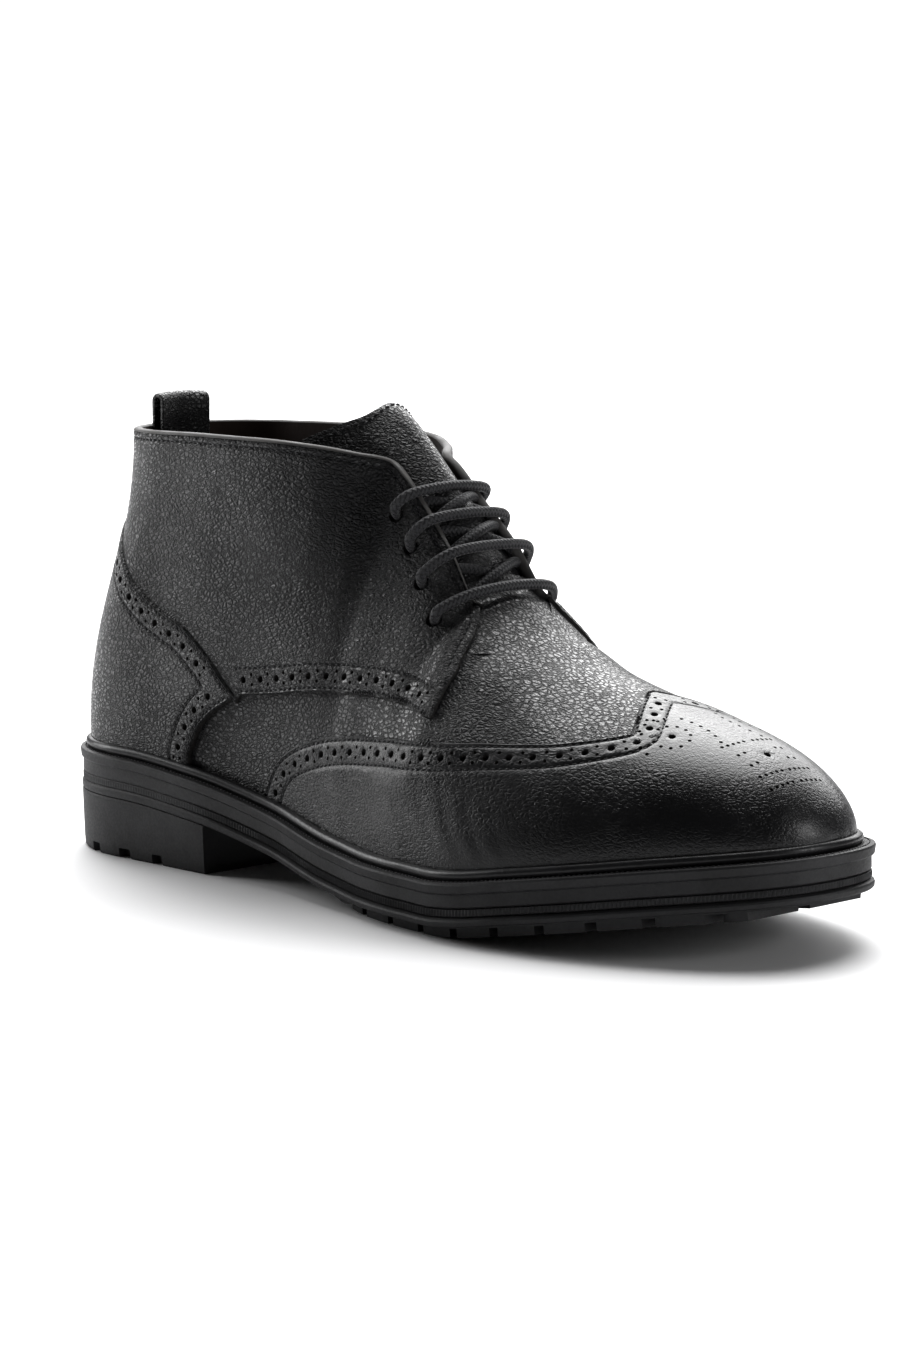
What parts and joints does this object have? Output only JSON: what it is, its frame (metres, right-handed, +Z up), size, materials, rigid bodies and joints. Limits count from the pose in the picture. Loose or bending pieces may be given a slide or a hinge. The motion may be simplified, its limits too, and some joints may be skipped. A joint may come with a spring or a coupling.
{
  "type": "leather ankle boot",
  "caption": "Laced leather ankle boot for a right foot, with a wing toe cap, heel counter, tongue, pull loop and a low-heeled ribbed rubber sole.",
  "frame": {"origin": "centre of the boot's footprint box, on the ground under the sole", "axes": "+X towards the toe, -Y to the outer (lateral) side, +Z up"},
  "size_m": [0.3032, 0.1126, 0.1475],
  "materials": {
    "grained_leather": "black tumbled leather with a soft sheen",
    "smooth_leather": "black smooth leather, burnished towards the toe",
    "lining_leather": "dark brown suede-like lining",
    "sole_rubber": "matte black rubber",
    "waxed_cord": "black round waxed braid"
  },
  "bodies": {
    "root": {"upper": "grained_leather", "quarter_lateral": "grained_leather", "quarter_medial": "grained_leather", "heel_counter": "grained_leather", "wing_cap": "smooth_leather", "tongue": "grained_leather", "insole": "lining_leather", "welt": "sole_rubber", "outsole": "sole_rubber", "heel": "sole_rubber", "pull_loop": "grained_leather", "lace_bar_1": "waxed_cord", "lace_bar_2": "waxed_cord", "lace_bar_3": "waxed_cord", "lace_bar_4": "waxed_cord", "lace_crossing_1": "waxed_cord", "lace_crossing_2": "waxed_cord", "lace_crossing_3": "waxed_cord"}
  },
  "joints": []
}
